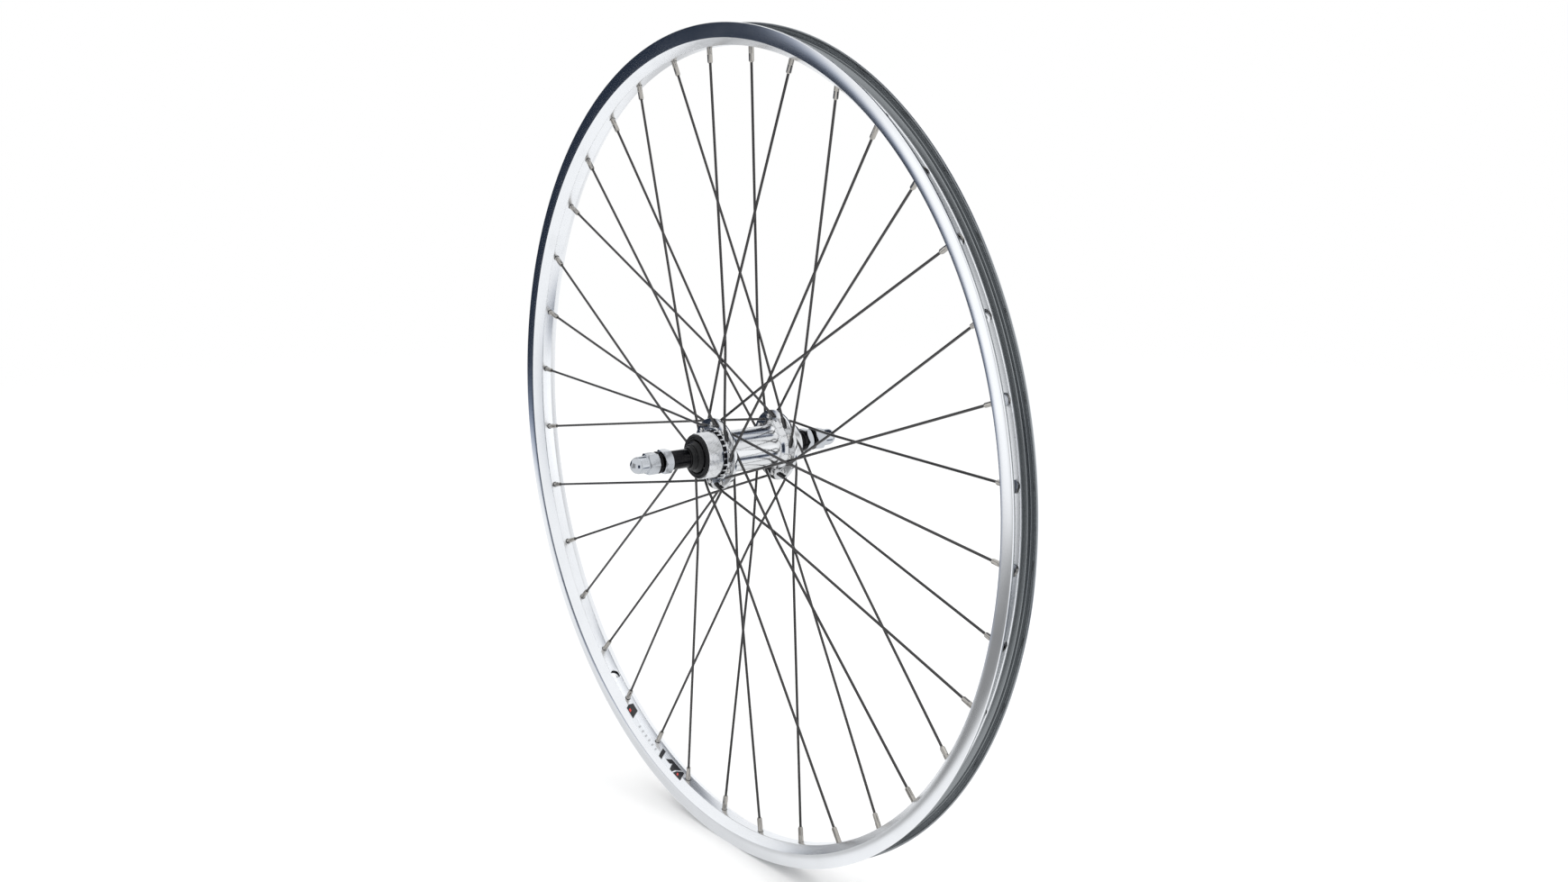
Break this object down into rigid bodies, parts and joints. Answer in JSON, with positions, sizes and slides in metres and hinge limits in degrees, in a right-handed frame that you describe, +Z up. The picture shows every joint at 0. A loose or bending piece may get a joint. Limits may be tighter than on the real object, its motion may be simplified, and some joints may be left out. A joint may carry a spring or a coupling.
{
  "type": "bicycle rear wheel",
  "caption": "Rear bicycle wheel with a double-wall alloy rim, crossed wire spokes and a bolt-on hub threaded for a freewheel, held by domed axle nuts.",
  "frame": {"origin": "wheel centre: on the axle's axis, in the rim's middle plane", "axes": "+Y along the axle from the freewheel (drive) side, at -Y, to the other side; +Z up; the wheel turns about Y"},
  "size_m": [0.6328, 0.1856, 0.6328],
  "materials": {
    "rim_alloy": "clear anodised silver with machined brake tracks",
    "hub_alloy": "polished silver",
    "stainless": "drawn stainless wire, with nickel-plated nipples",
    "zinc_steel": "bright zinc plate",
    "black_steel": "black oxide, lightly oiled",
    "bearing_steel": "ground and polished",
    "black_plastic": "moulded black",
    "black_rubber": "matt moulded rubber"
  },
  "bodies": {
    "axle_set": {"axle": "black_steel", "cone_drive": "black_steel", "cone_other": "black_steel", "cone_seal_drive": "black_rubber", "spacer_drive": "black_steel", "spacer_other": "black_steel", "locknut_drive": "zinc_steel", "locknut_other": "zinc_steel"},
    "wheel": {"rim": "rim_alloy", "rim_sleeve": "rim_alloy", "hub_shell": "hub_alloy", "bearing_cup_drive": "bearing_steel", "bearing_cup_other": "bearing_steel", "dust_cap_drive": "black_plastic", "dust_cap_other": "black_plastic", "spoke_drive_01": "stainless", "spoke_drive_02": "stainless", "spoke_drive_03": "stainless", "spoke_drive_04": "stainless", "spoke_drive_05": "stainless", "spoke_drive_06": "stainless", "spoke_drive_07": "stainless", "spoke_drive_08": "stainless", "spoke_drive_09": "stainless", "spoke_drive_10": "stainless", "spoke_drive_11": "stainless", "spoke_drive_12": "stainless", "spoke_drive_13": "stainless", "spoke_drive_14": "stainless", "spoke_drive_15": "stainless", "spoke_drive_16": "stainless", "spoke_drive_17": "stainless", "spoke_drive_18": "stainless", "spoke_other_01": "stainless", "spoke_other_02": "stainless", "spoke_other_03": "stainless", "spoke_other_04": "stainless", "spoke_other_05": "stainless", "spoke_other_06": "stainless", "spoke_other_07": "stainless", "spoke_other_08": "stainless", "spoke_other_09": "stainless", "spoke_other_10": "stainless", "spoke_other_11": "stainless", "spoke_other_12": "stainless", "spoke_other_13": "stainless", "spoke_other_14": "stainless", "spoke_other_15": "stainless", "spoke_other_16": "stainless", "spoke_other_17": "stainless", "spoke_other_18": "stainless"},
    "balls_drive": {"ball_retainer_drive": "bearing_steel"},
    "balls_other": {"ball_retainer_other": "bearing_steel"},
    "washer_drive": {"washer_drive": "black_steel"},
    "washer_other": {"washer_other": "black_steel"},
    "nut_drive": {"dome_nut_drive": "zinc_steel"},
    "nut_other": {"dome_nut_other": "zinc_steel"}
  },
  "joints": [
    {"name": "wheel_spin", "type": "hinge", "parent": "axle_set", "child": "wheel", "pos_m": [0, 0, 0], "axis": [0, 1, 0], "continuous": true},
    {"name": "balls_orbit_drive", "type": "hinge", "parent": "axle_set", "child": "balls_drive", "pos_m": [0, -0.029, 0], "axis": [0, 1, 0], "continuous": true},
    {"name": "balls_orbit_other", "type": "hinge", "parent": "axle_set", "child": "balls_other", "pos_m": [0, 0.046, 0], "axis": [0, 1, 0], "continuous": true},
    {"name": "nut_drive_travel", "type": "slide", "parent": "axle_set", "child": "washer_drive", "axis": [0, -1, 0], "range_m": [-0.0018, 0.0115]},
    {"name": "nut_drive_turn", "type": "hinge", "parent": "washer_drive", "child": "nut_drive", "pos_m": [0, -0.0715, 0], "axis": [0, -1, 0], "range_deg": [-648, 4140]},
    {"name": "nut_other_travel", "type": "slide", "parent": "axle_set", "child": "washer_other", "axis": [0, 1, 0], "range_m": [-0.0018, 0.0115]},
    {"name": "nut_other_turn", "type": "hinge", "parent": "washer_other", "child": "nut_other", "pos_m": [0, 0.0715, 0], "axis": [0, 1, 0], "range_deg": [-648, 4140]}
  ],
  "couplings": [
    {"joint": "balls_orbit_drive", "follows": "wheel_spin", "ratio": 0.6207},
    {"joint": "balls_orbit_other", "follows": "wheel_spin", "ratio": 0.6207},
    {"joint": "nut_drive_travel", "follows": "nut_drive_turn", "m_per_rad": 0.00015915},
    {"joint": "nut_other_travel", "follows": "nut_other_turn", "m_per_rad": 0.00015915}
  ]
}
